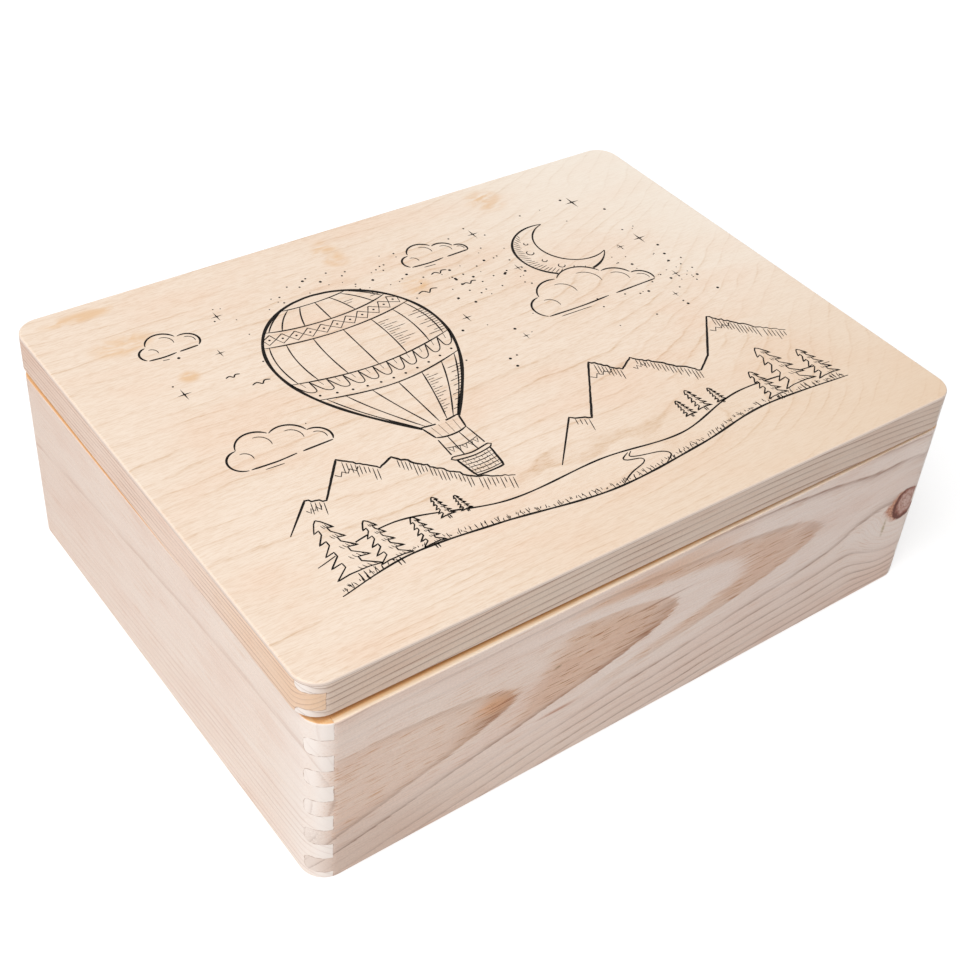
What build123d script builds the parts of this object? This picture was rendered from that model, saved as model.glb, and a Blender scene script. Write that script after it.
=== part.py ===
"""A finger-jointed pine keepsake box with a plywood-topped lid on two butt hinges.

X runs along the front, Y from the front to the back and Z up. The box stands on Z = 0. Every length is in
millimetres.
"""

from build123d import *
import os

# The carcass, from which the box and the lid are both made
carcass_width = 400.0
carcass_depth = 300.0
board = 10.0                 # thickness of every board
corner_radius = 13.0         # upright outer corners, sanded round
rim_rounding = 0.8           # outer edges of the rims
inner_rounding = 0.4         # inner edges of the rims
finger = 10.4                # height of one finger of a corner joint
finger_rounding = 3.5        # inner corners of the fingers of the front and back boards

# The box
box_height = 109.0
box_first_finger = 4.6       # from the foot to the lowest finger of the front board
box_fingers = 5

# The lid, screwed on slightly askew
lid_gap = 3.0                # between the rims of the box and the lid, as thick as the closed hinges
lid_rail_height = 19.5
lid_panel_thickness = 2.0
lid_panel_rounding = 1.2
lid_shift_x = -1.0
lid_shift_y = 0.8
lid_turn = -0.58             # degrees about Z
lid_first_finger = 4.5 - finger
lid_fingers = 2

# The bottom panel, let into a groove
panel_thickness = 3.0
panel_height = 5.0           # from the foot to the underside of the panel
panel_play = 0.3
groove_depth = 5.0
groove_width = 3.2

# The hinges
hinge_spacing = 250.0
hinge_length = 40.0
hinge_setback = 4.5          # from the back of the box to the pin's axis, clear of the lid's crooked back
leaf_thickness = 1.35
leaf_width = 11.7            # from the pin's axis to the leaf's front edge
leaf_corner = 1.5
knuckles = 5
knuckle_radius = 2.2
knuckle_gap = 0.4
pin_radius = 1.1
pin_play = 0.05
pin_head_radius = 1.6
pin_head = 0.6
screw_spacing = 26.0
screw_inset = 3.3            # from the leaf's front edge to the screws
screw_length = 10.0
screw_point = 2.5
screw_tip_radius = 0.2
screw_radius = 1.3
screw_head_radius = 2.5
screw_head_angle = 90
recess_length = 2.8
recess_width = 0.6
recess_depth = 0.6

# The box's middle stands in front of the origin, which is halfway from the front of the lid to the knuckles.
box_middle_y = -2.5

inner_width = carcass_width - 2 * board
inner_depth = carcass_depth - 2 * board
box_seat = Plane(origin=(0, box_middle_y, 0))
lid_bottom = box_height + lid_gap
lid_seat = Plane(
    Location((lid_shift_x, box_middle_y + lid_shift_y, lid_bottom), (0, 0, lid_turn))
)
axis_y = box_middle_y + carcass_depth / 2 + hinge_setback
axis_z = box_height + lid_gap / 2
knuckle_length = (hinge_length - (knuckles - 1) * knuckle_gap) / knuckles
knuckle_pitch = knuckle_length + knuckle_gap
hinge_places = {"left": -hinge_spacing / 2, "right": hinge_spacing / 2}
box_side = -1                # the leaf that lies on the box's rim, below the axis
lid_side = 1                 # the leaf under the lid's rim, above the axis


def save(piece, name):
    """Label a finished piece and write it to its own file."""
    piece.part.label = name
    export_step(piece.part, f"parts/{name}.step")


# ---- Hinges ----


def screw_places(middle_x, side):
    """A plane on each screw head of a leaf, facing out of the wood."""
    head_z = axis_z + side * (lid_gap / 2 - leaf_thickness)
    head_y = axis_y - leaf_width + screw_inset
    return [
        Plane(origin=(middle_x + end * screw_spacing / 2, head_y, head_z), z_dir=(0, 0, -side))
        for end in (-1, 1)
    ]


def screw_pair(middle_x, side):
    """Two countersunk screws with cross recesses, heads flush with the inner face of a leaf."""
    head = screw_head_radius - screw_radius
    straight = screw_length - head - screw_point
    hanging = (Align.CENTER, Align.CENTER, Align.MAX)
    with BuildPart() as screws:
        with Locations(*screw_places(middle_x, side)):
            Cone(screw_radius, screw_head_radius, head, align=hanging)
            with Locations((0, 0, -head)):
                Cylinder(screw_radius, straight, align=hanging)
            with Locations((0, 0, -head - straight)):
                Cone(screw_tip_radius, screw_radius, screw_point, align=hanging)
            Box(recess_length, recess_width, recess_depth, align=hanging, mode=Mode.SUBTRACT)
            Box(recess_width, recess_length, recess_depth, align=hanging, mode=Mode.SUBTRACT)
    return screws


def knuckle_places(middle_x, first):
    """Middles of every second knuckle along the pin, counted from first."""
    return [
        (middle_x + (number - (knuckles - 1) / 2) * knuckle_pitch, axis_y, axis_z)
        for number in range(first, knuckles, 2)
    ]


def hinge_leaf(middle_x, side, first_knuckle, bore_radius):
    """A flat leaf with every second knuckle, bored for the pin and countersunk for its screws."""
    along_x = (0, 90, 0)
    leaf_front = axis_y - leaf_width
    leaf_back = axis_y - (pin_radius + knuckle_radius) / 2
    with BuildPart() as leaf:
        with BuildSketch(Plane.XY.offset(axis_z + side * lid_gap / 2)):
            with Locations((middle_x, (leaf_front + leaf_back) / 2)):
                Rectangle(hinge_length, leaf_back - leaf_front)
        extrude(amount=-side * leaf_thickness)
        fillet(leaf.edges().filter_by(Axis.Z).group_by(Axis.Y)[0], leaf_corner)
        with Locations(*knuckle_places(middle_x, 1 - first_knuckle)):
            Cylinder(knuckle_radius + knuckle_gap, knuckle_length + 2 * knuckle_gap,
                     rotation=along_x, mode=Mode.SUBTRACT)
        with Locations(*knuckle_places(middle_x, first_knuckle)):
            Cylinder(knuckle_radius, knuckle_length, rotation=along_x)
        with Locations((middle_x, axis_y, axis_z)):
            Cylinder(bore_radius, hinge_length, rotation=along_x, mode=Mode.SUBTRACT)
        with Locations(*screw_places(middle_x, side)):
            CounterSinkHole(screw_radius, screw_head_radius, counter_sink_angle=screw_head_angle)
    return leaf


def hinge_pin(middle_x):
    """A pin the length of the hinge, with a low head at each end."""
    with BuildPart() as pin:
        with BuildSketch(Plane.YZ.offset(middle_x)):
            with Locations((axis_y, axis_z)):
                Circle(pin_radius)
        extrude(amount=hinge_length / 2, both=True)
        for end in (-1, 1):
            with BuildSketch(Plane.YZ.offset(middle_x + end * hinge_length / 2)):
                with Locations((axis_y, axis_z)):
                    Circle(pin_head_radius)
            extrude(amount=end * pin_head)
        fillet(pin.edges().group_by(Axis.X)[0], pin_head * 0.8)
        fillet(pin.edges().group_by(Axis.X)[-1], pin_head * 0.8)
    return pin


box_screws = {}
lid_screws = {}
for hand, middle_x in hinge_places.items():
    box_screws[hand] = screw_pair(middle_x, box_side)
    lid_screws[hand] = screw_pair(middle_x, lid_side)
    save(box_screws[hand], f"{hand}_hinge_box_screws")
    save(lid_screws[hand], f"{hand}_hinge_lid_screws")
    save(hinge_leaf(middle_x, box_side, 0, pin_radius), f"{hand}_hinge_box_leaf")
    save(hinge_leaf(middle_x, lid_side, 1, pin_radius + pin_play), f"{hand}_hinge_lid_leaf")
    save(hinge_pin(middle_x), f"{hand}_hinge_pin")


# ---- Finger-jointed frames ----


def board_ring(seat, height, rims, groove=False):
    """Four boards as one ring on the plane seat: round outside corners, square inside ones, sanded rims."""
    with BuildPart() as ring:
        with BuildSketch(seat):
            RectangleRounded(carcass_width, carcass_depth, corner_radius)
            Rectangle(inner_width, inner_depth, mode=Mode.SUBTRACT)
        extrude(amount=height)
        for rim in rims:
            fillet(ring.faces().sort_by(Axis.Z)[rim].outer_wire().edges(), rim_rounding)
            fillet(ring.faces().sort_by(Axis.Z)[rim].inner_wires()[0].edges(), inner_rounding)
        if groove:
            with BuildSketch(seat.offset(panel_height)):
                Rectangle(inner_width + 2 * groove_depth, inner_depth + 2 * groove_depth)
            extrude(amount=groove_width, mode=Mode.SUBTRACT)
    return ring


def side_board(ring, seat, height, end, first_finger, fingers):
    """The left (end -1) or right (end 1) board of a ring, notched for its neighbours' fingers."""
    inner_face = Plane(
        seat.from_local_coords((end * inner_width / 2, 0, 0)), x_dir=seat.y_dir, z_dir=seat.x_dir
    )
    notches = [
        (corner * carcass_depth / 2, first_finger + (2 * number + 0.5) * finger)
        for corner in (-1, 1)
        for number in range(fingers)
    ]
    with BuildPart() as side:
        add(ring.part)
        with BuildSketch(inner_face):
            Rectangle(carcass_depth, height, align=(Align.CENTER, Align.MIN))
            with Locations(*notches):
                RectangleRounded(2 * board, finger, finger_rounding, mode=Mode.SUBTRACT)
        extrude(amount=end * board, mode=Mode.INTERSECT)
    return side


def cross_board(ring, seat, end, cuts):
    """The front (end -1) or back (end 1) board: its half of the ring without the pieces in cuts."""
    middle = Plane(seat.origin, x_dir=seat.x_dir, z_dir=seat.y_dir)
    with BuildPart() as cross:
        add(ring.part)
        split(bisect_by=middle, keep=Keep.TOP if end > 0 else Keep.BOTTOM)
        for piece in cuts:
            add(piece.part, mode=Mode.SUBTRACT)
    return cross


# ---- Box ----

box_ring = board_ring(box_seat, box_height, rims=(0, -1), groove=True)
box_sides = [
    side_board(box_ring, box_seat, box_height, end, box_first_finger, box_fingers) for end in (-1, 1)
]
save(box_sides[0], "box_left_board")
save(box_sides[1], "box_right_board")
save(cross_board(box_ring, box_seat, -1, box_sides), "box_front_board")
save(cross_board(box_ring, box_seat, 1, box_sides + list(box_screws.values())), "box_back_board")

with BuildPart() as box_bottom_panel:
    with BuildSketch(box_seat.offset(panel_height)):
        Rectangle(
            inner_width + 2 * (groove_depth - panel_play), inner_depth + 2 * (groove_depth - panel_play)
        )
    extrude(amount=panel_thickness)
save(box_bottom_panel, "box_bottom_panel")

# ---- Lid ----

lid_ring = board_ring(lid_seat, lid_rail_height, rims=(0,))
lid_sides = [
    side_board(lid_ring, lid_seat, lid_rail_height, end, lid_first_finger, lid_fingers) for end in (-1, 1)
]
save(lid_sides[0], "lid_left_rail")
save(lid_sides[1], "lid_right_rail")
save(cross_board(lid_ring, lid_seat, -1, lid_sides), "lid_front_rail")
save(cross_board(lid_ring, lid_seat, 1, lid_sides + list(lid_screws.values())), "lid_back_rail")

with BuildPart() as lid_top_panel:
    with BuildSketch(lid_seat.offset(lid_rail_height)):
        RectangleRounded(carcass_width, carcass_depth, corner_radius)
    extrude(amount=lid_panel_thickness)
    fillet(lid_top_panel.faces().sort_by(Axis.Z)[-1].outer_wire().edges(), lid_panel_rounding)
save(lid_top_panel, "lid_top_panel")
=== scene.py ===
"""Looks of a pine keepsake box: sanded pine boards, a birch plywood lid printed with a line drawing, and brassed
hinges.

Object coordinates are metres in the box's own frame: X along the front, Y to the back, Z up. The materials and
the drawing work in millimetres.
"""

import math
import random

import bpy
from mathutils import Matrix, Vector


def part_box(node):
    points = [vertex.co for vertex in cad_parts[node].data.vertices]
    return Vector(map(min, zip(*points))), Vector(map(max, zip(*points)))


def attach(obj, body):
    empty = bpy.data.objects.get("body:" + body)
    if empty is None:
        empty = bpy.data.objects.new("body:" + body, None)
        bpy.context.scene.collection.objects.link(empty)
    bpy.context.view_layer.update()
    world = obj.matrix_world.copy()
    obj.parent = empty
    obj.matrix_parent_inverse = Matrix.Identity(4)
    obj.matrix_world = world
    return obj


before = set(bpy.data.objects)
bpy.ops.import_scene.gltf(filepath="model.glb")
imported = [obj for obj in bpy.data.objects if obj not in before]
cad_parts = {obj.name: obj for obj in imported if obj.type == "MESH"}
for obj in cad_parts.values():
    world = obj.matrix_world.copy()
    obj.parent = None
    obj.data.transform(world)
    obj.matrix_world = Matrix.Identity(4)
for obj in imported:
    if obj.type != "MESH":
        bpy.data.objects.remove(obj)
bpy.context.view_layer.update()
MM = 0.001


# ---- Small helpers ----


def colour(code):
    """An sRGB hex colour as linear red, green, blue and alpha."""
    values = [int(code[place:place + 2], 16) / 255 for place in (1, 3, 5)]
    return [v / 12.92 if v <= 0.04045 else ((v + 0.055) / 1.055) ** 2.4 for v in values] + [1.0]


def add(tree, kind, inputs=(), stops=(), **settings):
    """Add a shader node with its settings, its links and the stops of its ramp.

    The kind of a maths node is followed by its operation. Inputs go by name, or in the order of the node's
    sockets. An input is a value, a hex colour, a node (its first output) or a pair of a node and an output. A
    stop is a place with a hex colour, a grey or four channels.
    """
    kind, _, operation = kind.partition(" ")
    node = tree.nodes.new("ShaderNode" + kind)
    if operation:
        node.operation = operation
    for name, value in settings.items():
        setattr(node, name, value)
    for key, value in inputs.items() if isinstance(inputs, dict) else enumerate(inputs):
        if isinstance(value, bpy.types.Node):
            value = (value, 0)
        if isinstance(value, tuple) and isinstance(value[0], bpy.types.Node):
            tree.links.new(value[0].outputs[value[1]], node.inputs[key])
        else:
            node.inputs[key].default_value = colour(value) if isinstance(value, str) else value
    if stops:
        elements = node.color_ramp.elements
        while len(elements) < len(stops):
            elements.new(0.5)
        for element, (place, shade) in zip(elements, stops):
            element.position = place
            if isinstance(shade, str):
                shade = colour(shade)
            elif not isinstance(shade, tuple):
                shade = (shade, shade, shade, 1.0)
            element.color = shade
    return node


def new_material(name, levels):
    """A material, its node tree and its principled shader, with the levels that are the same all over."""
    material = bpy.data.materials.new(name)
    material.use_nodes = True
    shader = material.node_tree.nodes["Principled BSDF"]
    for socket, level in levels.items():
        shader.inputs[socket].default_value = level
    return material, material.node_tree, shader


def finish_surface(tree, shader, shade, relief, strength, depth, gloss, smoothest, roughest):
    """Colour a shader, raise a pattern on it so many millimetres, and let its roughness follow another."""
    bump = add(tree, "Bump", {"Height": relief, "Strength": strength, "Distance": depth * MM})
    rough = add(tree, "MapRange", [gloss, 0.3, 0.7, smoothest, roughest])
    for node, socket in ((shade, "Base Color"), (bump, "Normal"), (rough, "Roughness")):
        tree.links.new(node.outputs[0], shader.inputs[socket])


def finish_with(node_name, material):
    """Give a CAD node its material."""
    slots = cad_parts[node_name].data.materials
    slots.clear()
    slots.append(material)


# ---- Sizes read from the CAD parts, in millimetres ----

box_low = Vector(map(min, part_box("box_front_board")[0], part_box("box_left_board")[0])) / MM
box_high = Vector(map(max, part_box("box_back_board")[1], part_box("box_right_board")[1])) / MM
rail_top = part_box("lid_front_rail")[1].z / MM
lid_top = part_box("lid_top_panel")[1].z / MM
box_middle = (box_low + box_high) / 2
half_width = (box_high.x - box_low.x) / 2
half_depth = (box_high.y - box_low.y) / 2
board = (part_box("box_left_board")[1].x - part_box("box_left_board")[0].x) / MM

LID_SHIFT = Vector((-1.0, 0.8, 0.0))     # the lid's middle, measured from the middle of the box
LID_TURN = math.radians(-0.58)
FINGER = 10.4                            # height of one finger of a corner joint
FINGER_ROUNDING = 3.5
FIRST_FINGER = {"box": 9.8, "lid": 111.3}    # middle of the lowest finger of the front board
LAST_FINGER = {"box": 103.4, "lid": 140.0}   # above this height there are no more fingers

BARE_WOOD = {"IOR": 1.5, "Specular IOR Level": 0.35}


# ---- Pine ----

RUNGS = 16                # growth rings that have their own rung on a ladder of tones
FIRST_RING = -2
LONGEST_FIGURE = 200.0    # how far a ring's tan figure reaches back where its share is 1
SEAM_FULL = 0.12          # from the middle of a seam, how far it is at its darkest
SEAM_END = 0.34           # and where it ends
PALE_END_START = 40.0         # from the end of a side board, where its paler end, partly painted light, begins
PALE_END_FULL = 9.0           # and where it is full


def place_in_board(tree, turn, seat):
    """Millimetres along the grain, into the board and up, for a board that faces turn degrees from the front."""
    angle = math.radians(turn)
    origin = box_middle.copy()
    if seat == "lid":
        angle -= LID_TURN
        origin += LID_SHIFT
    depth = half_depth if turn % 180 == 0 else half_width
    shift = Matrix.Rotation(angle, 3, "Z") @ Vector((-origin.x, -origin.y, 0)) + Vector((0, depth, 0))
    where = add(tree, "TexCoord")
    return add(tree, "Mapping", {
        "Vector": (where, "Object"), "Location": shift, "Rotation": (0, 0, angle), "Scale": (1 / MM,) * 3,
    })


def joint_lines(tree, place, turn, seat):
    """1 on the hairline seams of the finger joints, 0 elsewhere, for a board whose place is given."""
    crosswise = turn % 180 == 0
    parts = add(tree, "SeparateXYZ", [place])
    along = add(tree, "Math ABSOLUTE", [(parts, "X")])
    depth = half_depth if crosswise else half_width
    across = add(tree, "Math SUBTRACT", [depth, (parts, "Y")])
    sideways, to_end = (along, across) if crosswise else (across, along)
    to_side = add(tree, "Math SUBTRACT", [half_width - board, sideways])
    low = add(tree, "Math MINIMUM", [(parts, "Z"), LAST_FINGER[seat]])
    rise = add(tree, "Math SUBTRACT", [low, FIRST_FINGER[seat]])
    step = add(tree, "Math WRAP", [rise, FINGER, -FINGER])
    up = add(tree, "Math ABSOLUTE", [step])
    # Distance to the round-nosed outline of the front board's finger, in the plane of the side board
    reach = add(tree, "Math SUBTRACT", [half_depth - board + FINGER_ROUNDING, to_end])
    rise_out = add(tree, "Math SUBTRACT", [up, FINGER / 2 - FINGER_ROUNDING])
    corner = add(tree, "CombineXYZ", [reach, rise_out, 0.0])
    outside = add(tree, "VectorMath MAXIMUM", [corner, (0, 0, 0)])
    far = add(tree, "VectorMath LENGTH", [outside])
    near = add(tree, "Math MAXIMUM", [reach, rise_out])
    near = add(tree, "Math MINIMUM", [near, 0.0])
    nose = add(tree, "Math ADD", [(far, "Value"), near])
    into_finger = add(tree, "Math SUBTRACT", [FINGER_ROUNDING, nose])
    seam = add(tree, "Math MAXIMUM", [to_side, into_finger])
    off_seam = add(tree, "Math ABSOLUTE", [seam])
    line = add(tree, "MapRange", [off_seam, SEAM_FULL, SEAM_END, 1.0, 0.0])
    at_corner = add(tree, "Math GREATER_THAN", [to_end, half_depth - board - 0.3])
    outer = add(tree, "Math MULTIPLY", [line, at_corner])
    patchy = add(tree, "TexNoise", {"Vector": place, "Scale": 0.35, "Detail": 2.0})
    strength = add(tree, "MapRange", [patchy, 0.43, 0.62])
    return add(tree, "Math MULTIPLY", [outer, strength])


def bend_round_knot(tree, grain, knot):
    """Push the grain aside round a knot: the rings crowd below it and hardly give way above it."""
    along, up, wide, high = knot
    off = add(tree, "VectorMath SUBTRACT", [grain, (along, 0, up)])
    flat = add(tree, "VectorMath MULTIPLY", [off, (1, 0, 1)])
    oval = add(tree, "VectorMath MULTIPLY", [flat, (1 / wide, 0, 1 / high)])
    far = add(tree, "VectorMath LENGTH", [oval])
    push = add(tree, "MapRange", [(far, "Value"), 0.6, 5.6, 0.82, 0.0], interpolation_type="SMOOTHERSTEP")
    over_knot = add(tree, "SeparateXYZ", [oval])
    yielding = add(tree, "MapRange", [(over_knot, "Z"), 0.0, 1.6, 1.0, 0.35], interpolation_type="SMOOTHSTEP")
    push = add(tree, "Math MULTIPLY", [push, yielding])
    shove = add(tree, "VectorMath SCALE", {0: flat, "Scale": push})
    grain = add(tree, "VectorMath SUBTRACT", [grain, shove])
    # Ahead of its tail the grain is drawn up towards it
    ahead = add(tree, "VectorMath ADD", [oval, (3.9, 0, 0)])
    ahead = add(tree, "VectorMath MULTIPLY", [ahead, (0.52, 0, 0.95)])
    ahead = add(tree, "VectorMath DOT_PRODUCT", [ahead, ahead])
    ahead = add(tree, "Math MULTIPLY", [(ahead, "Value"), -1.0])
    ahead = add(tree, "Math EXPONENT", [ahead])
    ahead = add(tree, "VectorMath SCALE", {0: (0, 0, 5.5), "Scale": ahead})
    return add(tree, "VectorMath SUBTRACT", [grain, ahead])


def darken_by_mark(tree, shade, place, ragged, mark):
    """Darken a board by a streak or a broad darker patch."""
    along, up, long, high, tone = mark
    off = add(tree, "VectorMath SUBTRACT", [place, (along, 0, up)])
    off = add(tree, "VectorMath MULTIPLY", [off, (1 / long, 0, 1 / high)])
    off = add(tree, "VectorMath LENGTH", [off])
    off = add(tree, "Math MULTIPLY_ADD", [ragged, 2.4, (off, "Value")])
    cover = add(tree, "MapRange", [off, 0.35, 1.1, 0.7, 0.0])
    return add(tree, "MixRGB", [cover, shade, tone], blend_type="MULTIPLY")


def colour_knot(tree, shade, place, knot):
    """A knot: a pinkish-grey core, a red-brown rim thickest at the lower left and a reddish tail to the left."""
    along, up, wide, high = knot
    off = add(tree, "VectorMath SUBTRACT", [place, (along, 0, up)])
    bitten = add(tree, "TexNoise", {"Vector": place, "Scale": 0.32, "Detail": 3.0, "Roughness": 0.6})
    bitten = add(tree, "Math SUBTRACT", [bitten, 0.5])
    sides = add(tree, "VectorMath ABSOLUTE", [off])
    tail = add(tree, "VectorMath DOT_PRODUCT", [sides, (1 / (1.95 * wide), 0, 1 / (1.7 * high))])
    tail = add(tree, "Math MULTIPLY_ADD", [bitten, 0.4, (tail, "Value")])
    tail = add(tree, "MapRange", [tail, 0.78, 1.03, 0.9, 0.0])
    off_parts = add(tree, "SeparateXYZ", [off])
    left = add(tree, "MapRange", [(off_parts, "X"), 0.0, 6.0, 1.0, 0.0])
    tail = add(tree, "Math MULTIPLY", [tail, left])
    side_parts = add(tree, "SeparateXYZ", [sides])
    level = add(tree, "MapRange", [(side_parts, "Z"), 0.86 * high, high, 1.0, 0.0])
    tail = add(tree, "Math MULTIPLY", [tail, level])
    fleck = add(tree, "TexNoise", {"Vector": place, "Scale": 0.9, "Detail": 2.0})
    fleck = add(tree, "ValToRGB", [fleck], [(0.35, "#9A4E34"), (0.5, "#BC7C5C"), (0.65, "#DCAE92")])
    shade = add(tree, "MixRGB", [tail, shade, fleck])
    oval = add(tree, "VectorMath MULTIPLY", [off, (1 / wide, 0, 1 / high)])
    far = add(tree, "VectorMath LENGTH", [oval])
    reach = add(tree, "Math MULTIPLY_ADD", [bitten, 0.35, (far, "Value")])
    rim = add(tree, "MapRange", [reach, 0.93, 1.03, 1.0, 0.0])
    shade = add(tree, "MixRGB", [rim, shade, "#602E1E"])
    inner = add(tree, "VectorMath SUBTRACT", [oval, (0.12, 0, 0.1)])
    inner = add(tree, "VectorMath LENGTH", [inner])
    inner = add(tree, "Math MULTIPLY_ADD", [bitten, 0.5, (inner, "Value")])
    core = add(tree, "ValToRGB", [inner], [
        (0.0, "#C8A59B"), (0.25, "#D2B5AB"), (0.42, "#B88F82"), (0.6, "#CCABA0"), (0.78, "#A06A5A"),
    ])
    mottle = add(tree, "TexNoise", {"Vector": place, "Scale": 1.1, "Detail": 3.0})
    mottle = add(tree, "ValToRGB", [mottle], [(0.36, "#C9A799"), (0.52, "#FFFFFF")])
    core = add(tree, "MixRGB", [1.0, core, mottle], blend_type="MULTIPLY")
    cover = add(tree, "MapRange", [inner, 0.76, 0.9, 1.0, 0.0])
    return add(tree, "MixRGB", [cover, shade, core])


def growth_rings(tree, parts, ragged, rings):
    """Where a point lies in the growth rings: its ring, how far through the ring it is, the ring's rung on a
    ladder of tones, and the distances that they are counted from.

    The heart line bows along the board, and rings close up away from it.
    """
    from_crest = add(tree, "Math SUBTRACT", [(parts, "X"), rings["crest"]])
    past_crest = add(tree, "Math MAXIMUM", [from_crest, 0.0])
    fall = add(tree, "Math MULTIPLY", [past_crest, past_crest])
    dip = add(tree, "Math MULTIPLY", [from_crest, from_crest])
    heart = add(tree, "Math MULTIPLY_ADD", [dip, -rings["bow"], rings["heart"]])
    heart = add(tree, "Math MULTIPLY_ADD", [fall, -rings["fall"], heart])
    off_heart = add(tree, "Math SUBTRACT", [(parts, "Z"), heart])
    square = add(tree, "Math MULTIPLY", [off_heart, off_heart])
    above = add(tree, "MapRange", [off_heart, -5.0, 5.0])
    closing = add(tree, "MapRange", [above, 0.0, 1.0, 1 / rings["spread"], 1 / rings["spread_above"]])
    across = add(tree, "Math MULTIPLY", [square, closing])
    along = add(tree, "Math SUBTRACT", [(parts, "X"), rings["tip"]])
    even = add(tree, "Math MULTIPLY_ADD", [along, 1 / rings["pitch"], across])
    even = add(tree, "Math MULTIPLY_ADD", [(parts, "Y"), -1 / rings["depth"], even])
    count = add(tree, "Math MULTIPLY_ADD", [ragged, rings["ragged"], even])
    ring = add(tree, "Math FLOOR", [count])
    phase = add(tree, "Math FRACT", [count])
    rung = add(tree, "Math ADD", [ring, 0.5 - FIRST_RING])
    rung = add(tree, "Math DIVIDE", [rung, RUNGS])
    return {
        "ring": ring, "phase": phase, "rung": rung, "reach": (parts, "X"), "along": along,
        "off_heart": off_heart, "above": above,
    }


def tan_figure(tree, growth, ragged, rings):
    """How tan a point is: the figure starts behind each ring's nose, with a slanting and streaky edge."""
    tones = add(tree, "ValToRGB", [growth["rung"]], [
        (rung / RUNGS, rings["figure"].get(rung + FIRST_RING, (0.0, 0.0, 0.0, 0.0))) for rung in range(RUNGS)
    ])
    tones.color_ramp.interpolation = "CONSTANT"
    tone = add(tree, "SeparateColor", [tones])
    nose = add(tree, "Math ADD", [growth["ring"], 1.0])
    nose = add(tree, "Math MULTIPLY", [nose, rings["pitch"]])
    behind = add(tree, "Math SUBTRACT", [nose, growth["along"]])
    behind = add(tree, "Math MULTIPLY_ADD", [growth["off_heart"], 0.7, behind])
    behind = add(tree, "Math MULTIPLY_ADD", [ragged, 60.0, behind])
    inside = add(tree, "Math MULTIPLY", [(tone, "Green"), LONGEST_FIGURE])
    inside = add(tree, "Math SUBTRACT", [inside, behind])
    inside = add(tree, "MapRange", [inside, -9.0, 9.0], interpolation_type="SMOOTHSTEP")
    past_pale = add(tree, "Math SUBTRACT", [growth["phase"], (tones, "Alpha")])
    past_pale = add(tree, "MapRange", [past_pale, -0.12, 0.12], interpolation_type="SMOOTHSTEP")
    inside = add(tree, "Math MULTIPLY", [inside, past_pale])
    # The upper side of a ring fades out, the lower one ends at its late wood
    soft_top = add(tree, "MapRange", [growth["phase"], 0.72, 1.0, 1.0, 0.5])
    soft_top = add(tree, "MixRGB", [growth["above"], "#FFFFFF", soft_top])
    inside = add(tree, "Math MULTIPLY", [inside, soft_top])
    more = add(tree, "Math SUBTRACT", [(tone, "Red"), (tone, "Blue")])
    figure = add(tree, "Math MULTIPLY_ADD", [more, inside, (tone, "Blue")])
    distance = add(tree, "Math ABSOLUTE", [growth["off_heart"]])
    core = rings["core"]
    in_core = add(
        tree, "MapRange", [distance, 0.6 * core, 1.25 * core, 1.0, 0.0], interpolation_type="SMOOTHSTEP",
    )
    return add(tree, "Math MULTIPLY", [figure, in_core])


def late_wood_lines(tree, growth, faint, rings):
    """How dark the late wood is: a thin line at the outer side of each ring, here and there worn faint."""
    lines = add(tree, "ValToRGB", [growth["phase"]], [
        (0.0, 0.35), (0.035, 0.0), (0.6, 0.0), (0.82, 0.22), (0.92, 0.75), (0.97, 1.0), (1.0, 0.4),
    ])
    strength = add(tree, "ValToRGB", [growth["rung"]], [
        (rung / RUNGS, (below, over, 0.0, 1.0)) for rung, (below, over) in enumerate(rings["lines"])
    ])
    strength.color_ramp.interpolation = "CONSTANT"
    strength = add(tree, "SeparateColor", [strength])
    strength = add(tree, "MapRange", [growth["above"], 0.0, 1.0, (strength, "Red"), (strength, "Green")])
    faint = add(tree, "MapRange", [faint, 0.32, 0.58, 0.25, 1.0])
    young = add(tree, "Math LESS_THAN", [growth["ring"], rings["fade_from"] - 0.5])
    fade = add(tree, "MapRange", [growth["reach"], *rings["fade"], 0.2])
    fade = add(tree, "Math MAXIMUM", [fade, young])
    for share in (strength, faint, fade):
        lines = add(tree, "Math MULTIPLY", [lines, share])
    return lines


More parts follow.
